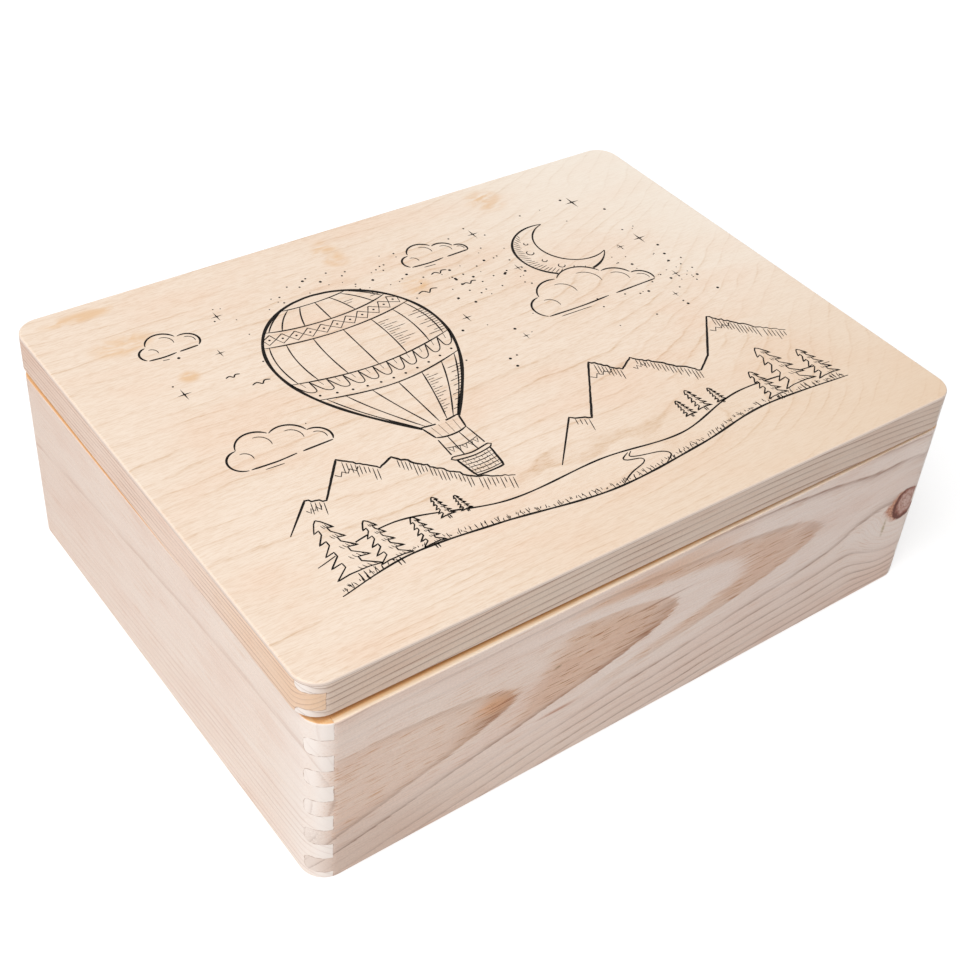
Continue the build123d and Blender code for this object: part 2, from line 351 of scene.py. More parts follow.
def pine(name, turn, seat, rings, knots=(), marks=(), early="#F3E7E0", late="#DDB79B", dark="#8C6247",
         ends="#FCF2EB", left_end_shade="#FFFFFF", right_end_shade="#FFFFFF", lit_rim_edge="#EDBA84"):
    """Sanded, unfinished pine, sawn flat: pale early wood, tan heart figure with ragged noses, thin brown late
    wood lines with one sharp side, and fine fibres along the grain. It is matt, with the faintest tooth.

    rings holds the growth rings' shape: tip (where ring 0 begins along the board), pitch (length between tips),
    heart and crest (height of the heart line at its crest, and where the crest is), bow and fall (how fast the
    heart line drops from its crest, and how much faster past it), spread and spread_above (how fast rings close
    up below and above the heart line), depth (ring width into the board), wander (how far the lines stray),
    ragged (how streaky their edges are), core (how far from the heart line the tan figure fades), figure (by
    ring: its tone, the share of LONGEST_FIGURE it reaches back from its nose, the tone behind that, and the
    share of the ring that stays pale), darker_off_heart (how much darker the board gets 20 to 62 mm from the
    heart line), lines (strength of each ring's line below and above the heart line, from FIRST_RING up), fade
    (where along the board the lines start to show, and where they show in full) and fade_from (the first ring
    whose line fades so). A knot is (along, up, half its width, half its height), and a mark is a streak or a
    broad darker patch, the same with its tint. left_end_shade and right_end_shade darken the board towards its
    ends, painted shade where the light falls off away from the lamp; ends is the colour of its end grain, and
    lit_rim_edge is the colour of its rim along the outer edge, painted light where the rim is lit beside the lid.
    """
    material, tree, shader = new_material(name, BARE_WOOD)
    crosswise = turn % 180 == 0
    length = half_width if crosswise else half_depth
    place = place_in_board(tree, turn, seat)
    from_middle = add(tree, "SeparateXYZ", [place])
    grain = place
    for knot in knots:
        grain = bend_round_knot(tree, grain, knot)
    stretched = add(tree, "VectorMath DIVIDE", [grain, (90, 30, 38)])
    wander = add(tree, "TexNoise", {"Vector": stretched, "Scale": 1.0, "Detail": 2.5, "Roughness": 0.45})
    wander = add(tree, "VectorMath SUBTRACT", [(wander, "Color"), (0.5, 0.5, 0.5)])
    wander = add(tree, "VectorMath MULTIPLY", [wander, (0, 1.0, rings["wander"])])
    grain = add(tree, "VectorMath ADD", [grain, wander])
    parts = add(tree, "SeparateXYZ", [grain])

    # Patterns by the size of their cells in millimetres
    fibres, dashes, faint, clouds, nap_and_sparkle = [
        add(tree, "TexNoise", {
            "Vector": add(tree, "VectorMath DIVIDE", [on, cell]),
            "Scale": 1.0, "Detail": detail, "Roughness": roughness,
        })
        for on, cell, detail, roughness in (
            (grain, (34, 0.8, 0.8), 4.0, 0.65),      # streaks along the grain
            (grain, (16, 0.6, 0.6), 2.0, 0.5),       # dark hairlines that gather in the tan figure
            (grain, (55, 9, 9), 3.0, 0.5),           # where the late wood is worn faint
            (place, (110, 40, 30), 3.0, 0.6),        # broad clouds
            (place, (1.3, 0.6, 0.6), 2.0, 0.7),      # the nap of sanding and painted sparkle, drawn so coarse that it shows
        )
    ]
    dashes = add(tree, "MapRange", [dashes, 0.58, 0.66])
    # The nap of sanding, strong enough to stand for painted sparkle: speckles a few per cent lighter and darker.
    nap_and_sparkle = add(tree, "MapRange", [nap_and_sparkle, 0.3, 0.7, 0.92, 1.07])
    ragged = add(tree, "Math SUBTRACT", [fibres, 0.5])

    # Figure and fibres
    growth = growth_rings(tree, parts, ragged, rings)
    figure = tan_figure(tree, growth, ragged, rings)
    fibre_tone = add(tree, "MapRange", [fibres, 0.3, 0.7, -0.1, 0.13])
    uneven = add(tree, "Math MULTIPLY_ADD", [figure, 0.72, fibre_tone])
    dash_weight = add(tree, "Math MULTIPLY_ADD", [figure, 0.85, 0.18])
    uneven = add(tree, "Math MULTIPLY_ADD", [dashes, dash_weight, uneven])
    shade = add(tree, "ValToRGB", [uneven], [(0.0, early), (0.62, late), (1.0, "#A97453")])

    # Broad tints: soft clouds, a darker band away from the heart line, the nap of sanding with painted sparkle,
    # and painted shade that darkens the board towards its ends, where the light falls off away from the lamp
    clouds = add(tree, "ValToRGB", [clouds], [(0.3, "#FFFDFA"), (0.5, "#FDF8F4"), (0.68, "#F9EFE9")])
    # Darker 20 to 62 mm from the heart line, which on the front board lies mostly towards its foot.
    distance = add(tree, "Math ABSOLUTE", [growth["off_heart"]])
    darker_off_heart = add(tree, "MapRange", [distance, 20.0, 62.0, 0.0, rings["darker_off_heart"]])
    # Painted shade: the two end colours darken the board towards its ends, where the light falls off away from
    # the lamp.
    rightward = add(tree, "MapRange", [(parts, "X"), -140.0, 100.0])
    painted_end_shade = add(tree, "MixRGB", [rightward, left_end_shade, right_end_shade])
    for share, tint in ((1.0, clouds), (darker_off_heart, "#EDE3DB"), (1.0, nap_and_sparkle), (1.0, painted_end_shade)):
        shade = add(tree, "MixRGB", [share, shade, tint], blend_type="MULTIPLY")

    # Ends: sanded end grain is whitish, and so are the last few centimetres beside it on the side boards. That
    # paler strip is partly sanded wood and partly painted light, the brightening of the left board towards its
    # lit front corner.
    facing = add(tree, "TexCoord")
    facing = add(tree, "SeparateXYZ", [(facing, "Normal")])
    endways = add(tree, "Math ABSOLUTE", [(facing, "X" if crosswise else "Y")])
    endways = add(tree, "MapRange", [endways, 0.1, 0.8])
    # Partly painted light: the side boards are painted paler towards one end.
    worn = add(tree, "MapRange", [
        (from_middle, "X"), length - PALE_END_START, length - PALE_END_FULL, 0.0, 0.0 if crosswise else 0.6,
    ])
    whitened = add(tree, "Math MAXIMUM", [endways, worn])
    whitened = add(tree, "Math MULTIPLY", [whitened, 0.85])
    shade = add(tree, "MixRGB", [whitened, shade, ends])

    lines = late_wood_lines(tree, growth, faint, rings)
    bare = add(tree, "MapRange", [endways, 0.0, 1.0, 1.0, 0.6])
    lines = add(tree, "Math MULTIPLY", [lines, bare])
    shade = add(tree, "MixRGB", [lines, shade, dark])
    for mark in marks:
        shade = darken_by_mark(tree, shade, place, ragged, mark)
    for knot in knots:
        shade = colour_knot(tree, shade, place, knot)

    # Rims: left as sawn, cream along the outer edge, orange further in, browner underneath. Over the wood's own
    # warm colour this is painted light and shade of the gap under the lid: a lit outer edge, warm light bounced
    # inside the gap, and painted shade deeper in and on the lid's underside
    edgeways = add(tree, "Math ABSOLUTE", [(facing, "Z")])
    edgeways = add(tree, "MapRange", [edgeways, 0.6, 0.95])
    upward = add(tree, "Math GREATER_THAN", [(facing, "Z"), 0.0])
    from_end = add(tree, "Math ABSOLUTE", [(from_middle, "X")])
    from_end = add(tree, "Math SUBTRACT", [length, from_end])
    from_edge = add(tree, "Math MINIMUM", [(from_middle, "Y"), from_end])
    from_edge = add(tree, "Math MULTIPLY_ADD", [fibres, 3.0, from_edge])
    inward = add(tree, "Math DIVIDE", [from_edge, board])
    top = add(tree, "ValToRGB", [inward], [
        (0.26, lit_rim_edge), (0.42, "#F0C894"), (0.56, "#E2AC72"), (1.0, "#EAC59A"),
    ])
    # Painted shade: the underside is browner so that the gap beneath the lid reads dark.
    under = add(tree, "ValToRGB", [fibres], [(0.3, "#E4B582"), (0.7, "#CF9A64")])
    gap_light_and_shade = add(tree, "MixRGB", [upward, under, top])
    shade = add(tree, "MixRGB", [edgeways, shade, gap_light_and_shade])

    seams = joint_lines(tree, place, turn, seat)
    seams = add(tree, "Math MULTIPLY", [seams, 0.72])
    shade = add(tree, "MixRGB", [seams, shade, "#945D3C"])
    tooth = add(tree, "Math MULTIPLY_ADD", [fibres, 0.6, dashes])
    finish_surface(tree, shader, shade, tooth, 0.25, 0.1, fibres, 0.58, 0.72)
    return material


FULL = (-900.0, -899.0)    # off the board's left end, so lines show in full all along it
FRONT_RINGS = {
    "tip": -91.0, "pitch": 102.0, "heart": 76.2, "crest": 110.0, "bow": 2.1e-4, "fall": 0.0, "spread": 830.0,
    "spread_above": 660.0, "depth": 6.0, "wander": 5.0, "ragged": 0.27, "core": 30.0,
    "figure": {
        -2: (0.3, 0.0, 0.26, -0.5),
        -1: (0.56, 0.12, 0.29, -0.5),
        0: (0.52, 0.41, 0.14, -0.5),
        1: (0.46, 0.96, 0.0, 0.5),
    },
    "darker_off_heart": 0.5,
    "lines": [
        (0.4, 0.3), (0.5, 0.2), (0.68, 0.1), (0.14, 0.3), (0.66, 0.75), (0.6, 0.5), (0.6, 0.5), (0.78, 0.5),
    ] + [(0.62, 0.5)] * 8,
    "fade": (-230.0, -50.0), "fade_from": 2,
}
BACK_RINGS = dict(FRONT_RINGS, tip=20.0, heart=40.0)
PLAIN_RINGS = {    # long even lines with no tan figure
    "pitch": 1000.0, "fall": 0.0, "core": 1.0, "figure": {}, "darker_off_heart": 0.0, "fade": FULL, "fade_from": 0,
}
LID_FRONT_RINGS = dict(
    PLAIN_RINGS, tip=4418.0, heart=73.7, crest=40.0, bow=1.3e-4, fall=2.3e-4, spread=416.0,
    spread_above=416.0, depth=7.0, wander=2.0, ragged=0.12,
    lines=[(0.7, 0.8), (0.7, 0.85), (0.7, 0.75), (0.7, 0.9)] * 4,
)
LID_BACK_RINGS = dict(LID_FRONT_RINGS, crest=-60.0, bow=1.6e-4)
LEFT_RINGS = dict(
    PLAIN_RINGS, tip=-423.0, heart=110.0, crest=260.0, bow=1.45e-4, spread=750.0, spread_above=750.0,
    depth=6.0, wander=3.0, ragged=0.16, fade=(-150.0, 70.0), fade_from=1,
    lines=[
        (0.2, 0.2), (0.2, 0.2), (0.34, 0.2), (0.08, 0.2), (0.06, 0.2), (0.1, 0.2), (0.14, 0.2), (0.2, 0.2),
    ] + [(0.4, 0.3)] * 8,
)
RIGHT_RINGS = dict(LEFT_RINGS, tip=-600.0, crest=-200.0, fade=FULL)
LID_LEFT_RINGS = dict(
    PLAIN_RINGS, tip=5000.0, heart=56.0, crest=260.0, bow=7.0e-5, spread=400.0, spread_above=400.0, depth=6.0,
    wander=3.0, ragged=0.14, lines=[(0.6, 0.8), (0.6, 0.6), (0.6, 0.75), (0.6, 0.55)] * 4,
)
LID_RIGHT_RINGS = dict(LID_LEFT_RINGS, tip=5300.0, crest=-200.0)

# Millimetres along the board from its middle, and up from the foot of the box
KNOT = (183.6, 59.0, 9.4, 11.6)
STREAKS = [
    (-61.0, 37.6, 13.0, 1.5, "#C48E70"), (-64.5, 70.5, 2.6, 0.9, "#93813F"),
    (-6.0, 81.0, 26.0, 0.7, "#B0866A"), (170.5, 47.5, 1.6, 7.0, "#BDB08A"),
    # The wide mark at (-180, 14) darkens the front board towards its lower left end.
    (-180.0, 14.0, 85.0, 30.0, "#E3DAD4"), (-5.0, 101.0, 55.0, 6.0, "#F1DAC4"),
    (-101.0, 66.5, 13.0, 8.0, "#FFE3C2"),
]
LID_STAIN = (118.0, 122.0, 60.0, 20.0, "#FBF0E0")

BOARDS = {
    "box_front_board": pine(
        "sanded_pine_front", 0, "box", FRONT_RINGS, knots=[KNOT], marks=STREAKS, early="#FAECE4",
        late="#DDB291", dark="#86502E", right_end_shade="#F4F4F5", lit_rim_edge="#FCEAD2",
    ),
    "lid_front_rail": pine(
        "sanded_pine_lid_front", 0, "lid", LID_FRONT_RINGS, early="#E6D5C7", dark="#86593E",
        right_end_shade="#F4F3F4",
    ),
    "box_back_board": pine("sanded_pine_back", 180, "box", BACK_RINGS),
    "lid_back_rail": pine("sanded_pine_lid_back", 180, "lid", LID_BACK_RINGS),
    "box_left_board": pine(
        "sanded_pine_left", 90, "box", LEFT_RINGS, early="#F4E7DE", dark="#A9765A", left_end_shade="#F4F0EE",
    ),
    "lid_left_rail": pine(
        "sanded_pine_lid_left", 90, "lid", LID_LEFT_RINGS, marks=[LID_STAIN], early="#F4E0D3", dark="#8A5230",
        ends="#EFD0B5", left_end_shade="#F2EFED",
    ),
    "box_right_board": pine("sanded_pine_right", -90, "box", RIGHT_RINGS),
    "lid_right_rail": pine("sanded_pine_lid_right", -90, "lid", LID_RIGHT_RINGS),
}
for board_name, wood in BOARDS.items():
    finish_with(board_name, wood)


# ---- Birch plywood ----

CONTOUR_SPACING = 10.8    # rise of the log's layers from one contour to the next

# Orange flames in the lid's veneer: along and back from its middle, half width and half depth
FLAMES = [
    (-158.0, 105.0, 18.0, 9.0), (-166.0, 139.0, 22.0, 5.0), (-20.0, 127.0, 8.0, 16.0),
    (92.0, 131.0, 12.0, 12.0), (5.0, 75.0, 9.0, 9.0), (-141.0, 64.0, 6.0, 5.0),
]


def birch_pores(tree, place):
    """Short pores along the grain, drawn 5 mm long and 0.5 mm apart so that they show."""
    cells = add(tree, "VectorMath DIVIDE", [place, (5, 0.5, 1)])
    return add(tree, "TexNoise", {"Vector": cells, "Scale": 1.0, "Detail": 2.0, "Roughness": 0.6})


def birch_plywood(name, seat, foot, thick):
    """Thin birch plywood with rotary-cut faces, sanded: a cream ground, a faint contour figure that sweeps up to
    the right and closes in tongues at the front right, orange flame patches, short pores along the grain, and at
    the edges pale plies over a glue line."""
    material, tree, shader = new_material(name, BARE_WOOD)
    place = place_in_board(tree, 0, seat)
    middle = add(tree, "VectorMath SUBTRACT", [place, (0, half_depth, 0)])
    parts = add(tree, "SeparateXYZ", [middle])
    # Patterns by the size of their cells in millimetres
    lie, ruffle, show, blush, flame = [
        add(tree, "TexNoise", {
            "Vector": add(tree, "VectorMath DIVIDE", [middle, cell]),
            "Scale": 1.0, "Detail": detail, "Distortion": twist,
        })
        for cell, detail, twist in (
            ((170, 60, 20), 3.0, 0.0),    # how the log's layers lie
            ((12, 9, 20), 3.0, 0.0),      # their ruffles
            ((48, 16, 20), 3.0, 0.0),     # where the contours show
            ((70, 30, 20), 3.0, 0.0),     # blushes
            ((15, 7, 20), 4.0, 0.8),      # flames
        )
    ]
    pores = birch_pores(tree, middle)

    # Contours: the level of the log's layers where the knife cut them
    sweep = add(tree, "Math SUBTRACT", [(parts, "X"), 25.0])
    sweep = add(tree, "Math MAXIMUM", [sweep, 0.0])
    sweep = add(tree, "Math MULTIPLY", [sweep, sweep])
    level = add(tree, "Math MULTIPLY_ADD", [sweep, -0.0024, (parts, "Y")])
    # A swelling of the log under the front right corner closes the contours there into tongues
    tongue = add(tree, "Math ADD", [(parts, "Y"), 118.0])
    tongue = add(tree, "Math DIVIDE", [tongue, 30.0])
    tongue = add(tree, "Math MULTIPLY", [tongue, tongue])
    tongue = add(tree, "Math MULTIPLY", [tongue, -1.0])
    tongue = add(tree, "Math EXPONENT", [tongue])
    swell = add(tree, "MapRange", [(parts, "X"), -60.0, 165.0, 46.0, 8.0])
    level = add(tree, "Math MULTIPLY_ADD", [tongue, swell, level])
    level = add(tree, "Math MULTIPLY_ADD", [lie, 38.0, level])
    level = add(tree, "Math MULTIPLY_ADD", [ruffle, 3.0, level])
    count = add(tree, "Math DIVIDE", [level, CONTOUR_SPACING])
    phase = add(tree, "Math FRACT", [count])
    line = add(tree, "ValToRGB", [phase], [
        (0.0, 0.35), (0.04, 0.0), (0.55, 0.03), (0.86, 0.28), (0.95, 1.0), (1.0, 0.5),
    ])
    show = add(tree, "MapRange", [show, 0.38, 0.66, 0.07, 0.64])
    tone = add(tree, "Math MULTIPLY", [line, show])
    pore_tone = add(tree, "MapRange", [pores, 0.42, 0.7, 0.0, 0.5])
    tone = add(tree, "Math ADD", [tone, pore_tone])
    shade = add(tree, "ValToRGB", [tone], [(0.0, "#F9E9D9"), (0.5, "#EED8C3"), (1.0, "#DCBE9F")])
    blush = add(tree, "ValToRGB", [blush], [(0.35, "#FFFCF9"), (0.5, "#FEFAF6"), (0.65, "#FDF4ED")])
    shade = add(tree, "MixRGB", [1.0, shade, blush], blend_type="MULTIPLY")
    # The veneer is paler towards the back right corner and tanner towards the front right one: painted light
    # and shade, a sheen brightening the far side and less light towards the front
    for slope, start, tint in (
        ((0.0032, 0.0022, 0), 0.3, "#FFF8EC"),
        ((0.0018, -0.0046, 0), 0.32, "#E8CDB0"),
    ):
        share = add(tree, "VectorMath DOT_PRODUCT", [middle, slope])
        share = add(tree, "Math SUBTRACT", [(share, "Value"), start], use_clamp=True)
        shade = add(tree, "MixRGB", [share, shade, tint])
    flame = add(tree, "MapRange", [flame, 0.36, 0.58])
    for along, back, wide, deep in FLAMES:
        near = add(tree, "VectorMath SUBTRACT", [middle, (along, back, 0)])
        near = add(tree, "VectorMath MULTIPLY", [near, (1 / wide, 1 / deep, 0)])
        near = add(tree, "VectorMath LENGTH", [near])
        near = add(tree, "MapRange", [(near, "Value"), 0.4, 1.3, 0.75, 0.0], interpolation_type="SMOOTHSTEP")
        near = add(tree, "Math MULTIPLY", [near, flame])
        shade = add(tree, "MixRGB", [near, shade, "#E9BE8F"])

    # Edges: pale plies and glue lines, by height above the panel's underside
    rise = add(tree, "Math SUBTRACT", [(parts, "Z"), foot])
    layer = add(tree, "Math DIVIDE", [rise, thick])
    edge = add(tree, "ValToRGB", [layer], [
        (0.0, "#A17C66"), (0.16, "#E4D2C6"), (0.45, "#EBDACE"), (0.52, "#CDB7A8"), (0.6, "#E9D6C8"),
        (1.0, "#EAD7C6"),
    ])
    facing = add(tree, "TexCoord")
    facing = add(tree, "SeparateXYZ", [(facing, "Normal")])
    upright = add(tree, "Math ABSOLUTE", [(facing, "Z")])
    on_edge = add(tree, "MapRange", [upright, 0.6, 0.96, 1.0, 0.0])
    shade = add(tree, "MixRGB", [on_edge, shade, edge])
    finish_surface(tree, shader, shade, pores, 0.18, 0.08, pores, 0.5, 0.62)
    return material


finish_with("lid_top_panel", birch_plywood("birch_plywood_lid", "lid", rail_top, lid_top - rail_top))
panel_low, panel_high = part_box("box_bottom_panel")
finish_with("box_bottom_panel", birch_plywood(
    "birch_plywood_bottom", "box", panel_low.z / MM, (panel_high.z - panel_low.z) / MM,
))


# ---- Line drawing on the lid ----

# Millimetres in the lid's own frame, X to the right and Y to the back. The drawing is worked from front to back:
# what is drawn hides later lines behind it.
INK_HEIGHT = 0.03
INK_SPREAD = 1.3    # how much wider a line prints than it is drawn
DUST_TRIES = 950
chance = random.Random(11)
inked = []
blots = []
covers = []


def smooth(points, step=0.9, closed=False):
    """Points about a step apart on a smooth line through the given ones."""
    count = len(points)
    path = []
    for span in range(count if closed else count - 1):
        corners = [
            points[(span + shift) % count] if closed else points[min(max(span + shift, 0), count - 1)]
            for shift in (-1, 0, 1, 2)
        ]
        parts = max(2, int(math.dist(corners[1], corners[2]) / step))
        for part in range(parts):
            t = part / parts
            path.append(tuple(
                b + 0.5 * t * (c - a + t * (2 * a - 5 * b + 4 * c - d + t * (3 * b - a - 3 * c + d)))
                for a, b, c, d in zip(*corners)
            ))
    path.append(path[0] if closed else points[-1])
    return path


def straight(start, end, steps):
    """Points on a straight line, evenly apart."""
    return [tuple(a + (b - a) * n / steps for a, b in zip(start, end)) for n in range(steps + 1)]


def arc(x, y, wide, high, start=0.0, end=360.0):
    """Points along an ellipse between two angles in degrees."""
    steps = max(6, int(abs(end - start) * (wide + high) / 130))
    angles = [math.radians(start + (end - start) * n / steps) for n in range(steps + 1)]
    return [(x + wide * math.cos(angle), y + high * math.sin(angle)) for angle in angles]


def cover(outline):
    """Hide what is drawn later inside an outline."""
    across, up = zip(*outline)
    covers.append((min(across), max(across), min(up), max(up), outline))


def hidden(point):
    """Whether something drawn before lies over a point."""
    x, y = point
    for left, right, low, high, outline in covers:
        if left < x < right and low < y < high:
            within = False
            for (x0, y0), (x1, y1) in zip(outline, outline[1:] + outline[:1]):
                if (y0 > y) != (y1 > y) and x < (x1 - x0) * (y - y0) / (y1 - y0) + x0:
                    within = not within
            if within:
                return True
    return False


def stroke(path, width, thin=True):
    """Ink a line where it isn't hidden, thin at its two ends unless told otherwise."""
    run = []
    for number, point in enumerate(path):
        share = number / max(1, len(path) - 1)
        press = min(1.0, 0.45 + 4.0 * min(share, 1.0 - share)) if thin else 1.0
        if hidden(point):
            inked.append(run)
            run = []
        else:
            run.append((*point, INK_SPREAD * width * press * (1.0 + 0.12 * math.sin(0.23 * number))))
    inked.append(run)


def dot(x, y, radius):
    """Ink a round dot where it isn't hidden."""
    if not hidden((x, y)):
        blots.append(arc(x, y, radius, radius)[:-1])


def shape(outline, width):
    """Ink a closed outline, and hide what is behind it."""
    stroke(outline, width, thin=False)
    cover(outline[:-1])


def fir(x, foot, tall):
    """A fir tree with drooping branches, shaded on its right."""
    layers = 5
    tiers = [
        (0.26 * tall * (0.3 + 0.7 * (layer + 1) / layers), foot + tall * (1 - 0.86 * (layer + 1) / layers))
        for layer in range(layers)
    ]
    right = []
    for reach, level in tiers:
        right += [(0.35 * reach, level + 0.13 * tall), (reach, level), (0.42 * reach, level + 0.025 * tall)]
    outline = [(x, foot + tall)] + [(x + a, b) for a, b in right]
    outline += [(x - a, b) for a, b in reversed(right)] + [(x, foot + tall)]
    path = []
    for start, end in zip(outline, outline[1:]):
        path += straight(start, end, max(2, int(math.dist(start, end))))[:-1]
    shape(path + [path[0]], 0.6)
    for side in (-1, 1):
        stroke([(x + side * 0.03 * tall, foot + 0.14 * tall * n / 4) for n in range(5)], 0.5)
    del covers[-1]
    drop = 0.07 * tall
    for reach, level in tiers:
        for blade in range(4):
            start = x + reach * (0.05 + 0.2 * blade)
            stroke([
                (start, level + 1.1 * drop), (start + 0.06 * reach, level + 0.6 * drop),
                (start + 0.16 * reach, level + 0.2 * drop),
            ], 0.35)
    cover(path)


def cloud(base, puffs):
    """A cloud with a nearly flat base: round puffs given as (x, y, radius), with a curl inside each."""
    for number, (x, y, radius) in enumerate(puffs):
        others = puffs[:number] + puffs[number + 1:]
        run = []
        for point in arc(x, y, radius, radius, -90, 270) + [None]:
            outer = point and (
                point[1] > y or number == 0 and point[0] < x or number == len(puffs) - 1 and point[0] > x
            )
            if outer and point[1] > base and all(math.dist(point, puff[:2]) > puff[2] for puff in others):
                run.append(point)
            elif run:
                stroke(run, 0.85)
                run = []
        stroke(arc(x + 0.12 * radius, y, 0.55 * radius, 0.6 * radius, -20, 95), 0.4)
    left = min(x - math.sqrt(max(0.0, r * r - (y - base) ** 2)) for x, y, r in puffs)
    right = max(x + math.sqrt(max(0.0, r * r - (y - base) ** 2)) for x, y, r in puffs)
    wide = right - left
    stroke(smooth([(left, base), (left + 0.3 * wide, base - 0.8), (left + 0.55 * wide, base - 0.2)]), 0.8)
    stroke(smooth([(left + 0.62 * wide, base - 0.3), (right, base)]), 0.8)
    stroke(smooth([(left + 6, base - 3.2), (left + 0.35 * wide, base - 3.8)]), 0.4)
    for x, y, radius in puffs:
        cover([(a, max(b, base)) for a, b in arc(x, y, radius, radius)[:-1]])


def balloon(x, y):
    """A hot-air balloon, widest at x, y: gores, two patterned bands, a skirt, ropes and a woven basket."""
    wide, tall, deep = 50.0, 52.0, 76.0    # half its width, and its crown above and its mouth below the middle

    def half(level):
        if level > y:
            return wide * math.sqrt(max(0.0, 1 - ((level - y) / tall) ** 2))
        return wide * math.cos(0.86 * (y - level) / deep * math.pi / 2)

    def hoop(level, sag, start=-1.0, end=1.0):
        steps = 44
        shares = [start + (end - start) * n / steps for n in range(steps + 1)]
        levels = [level - sag * (1 - share * share) for share in shares]
        return [(x + share * half(height), height) for share, height in zip(shares, levels)]

    def seam(share, low, high):
        steps = int(high - low)
        levels = [low + (high - low) * n / steps for n in range(steps + 1)]
        return [(x + share * half(level), level) for level in levels]

    low = y - deep
    high = y + tall - 0.1
    rim = seam(-1.0, low, high) + arc(x, y, wide, tall, 93, 87)[1:-1] + list(reversed(seam(1.0, low, high)))
    # Basket and skirt
    foot = low - 43.0
    basket = smooth([
        (x - 9.5, foot + 15), (x - 9, foot + 8), (x - 8, foot + 1.5), (x - 6, foot), (x + 6, foot),
        (x + 8, foot + 1.5), (x + 9, foot + 8), (x + 9.5, foot + 15), (x + 5, foot + 14), (x - 5, foot + 14),
    ], closed=True)
    edge = smooth([
        (x - 10.6, foot + 17.5), (x - 10.6, foot + 15), (x, foot + 13.4), (x + 10.6, foot + 15),
        (x + 10.6, foot + 17.5), (x, foot + 15.9),
    ], closed=True)
    shape(edge, 0.7)
    stroke(basket, 0.9, thin=False)
    for row in range(5):
        level = foot + 2.2 + 2.5 * row
        stroke([(x - 9 + 18 * n / 12, level - 0.9 * math.sin(math.pi * n / 12)) for n in range(13)], 0.4)
    for stake in range(-3, 4):
        for row in range(5):
            level = foot + 2.4 * row + 1.2 * (stake % 2)
            at = x + 2.5 * stake * (0.9 + 0.02 * row)
            stroke([(at, level + 1.6), (at, level + 3.2)], 0.55)
    cover(basket[:-1])
    skirt_low = low - 9.0
    skirt = [
        (x - half(low), low), (x - 9, skirt_low), (x - 5, skirt_low - 1.4), (x, skirt_low - 1.9),
        (x + 5, skirt_low - 1.4), (x + 9, skirt_low), (x + half(low), low),
    ]
    for part in (skirt[:2], skirt[1:6], skirt[5:]):
        stroke(smooth(part), 0.8)
    for share in (-0.6, -0.2, 0.2, 0.6):
        stroke([(x + share * 10.9, low - 1), (x + share * 9.4, skirt_low - 0.8)], 0.4)
    cover(skirt)
    for side in (-1, 1):
        stroke(straight((x + side * 9.0, skirt_low), (x + side * 10.2, foot + 15), 9), 0.6)
        stroke(straight((x + side * 3.4, skirt_low - 1.6), (x + side * 4.2, foot + 14.4), 9), 0.5)
    # Bunting hung between the ropes
    for n in range(5):
        at = x - 7.2 + 3.6 * n
        level = foot + 24.0 - 1.1 * (1 - ((n - 2) / 2.2) ** 2)
        stroke([(at - 1.3, level), (at, level - 3.2), (at + 1.3, level)], 0.4, thin=False)
    stroke(smooth([(x - 9.8, foot + 25), (x, foot + 22.9), (x + 9.8, foot + 25)]), 0.4)
    # Envelope
    stroke(rim, 1.4, thin=False)
    stroke(hoop(low + 1.5, 1.6), 0.8)
    stroke(hoop(high - 4.5, 2.0), 0.6)
    bands = ((y + 34.0, y + 22.0, 6.0), (y - 12.0, y - 30.0, 7.5))
    for upper, lower, sag in bands:
        stroke(hoop(upper, sag), 0.75)
        stroke(hoop(lower, sag), 0.75)
    upper, lower, sag = bands[0]
    inner, outer = hoop(upper - 2.0, sag), hoop(lower + 2.0, sag)
    for n in range(1, 42, 4):
        sides = [[(a + b) / 2 for a, b in zip(inner[m], outer[m])] for m in (n + 3, n - 1)]
        diamond = [inner[n + 1], sides[0], outer[n + 1], sides[1]]
        stroke(diamond + diamond[:1], 0.5, thin=False)
        dot(sum(p[0] for p in diamond) / 4, sum(p[1] for p in diamond) / 4, 0.75)
    upper, lower, sag = bands[1]
    scallop_top, scallop_low = hoop(upper, sag), hoop(upper - 9.0, sag)
    for n in range(0, 44, 4):
        scallop = [scallop_top[n], scallop_low[n + 1], scallop_low[n + 3], scallop_top[n + 4]]
        stroke(smooth(scallop, 0.6), 0.55)
        stem = tuple((a + b) / 2 for a, b in zip(scallop_top[n + 2], scallop_low[n + 2]))
        stroke([scallop_top[n + 2], stem], 0.5)
    for point in hoop(lower + 4.2, sag)[2::4]:
        dot(*point, 0.8)
    for share in (-0.92, -0.71, -0.38, 0.0, 0.38, 0.71, 0.92):
        rise = [sag * (1 - share * share) for upper, lower, sag in bands]
        stroke(seam(share, bands[0][0] - rise[0], high - 6.0), 0.6)
        stroke(seam(share, bands[1][0] - rise[1], bands[0][1] - rise[0]), 0.6)
        stroke(seam(share, low + 1.0, bands[1][1] - rise[1]), 0.6)
    # Shading strokes follow the round of the right-hand gores
    for n in range(56):
        level = low + 6 + 2.0 * n
        if level > high - 12:
            break
        if any(lower - 9 < level < upper + 1 for upper, lower, sag in bands):
            continue
        reach = 0.045 * ((n * 7) % 5)
        stroke(hoop(level, 1.2, 0.76 + reach, 0.985), 0.35)
        stroke(hoop(level + 1, 1.2, 0.4, 0.46 + reach), 0.3)
    cover(rim)


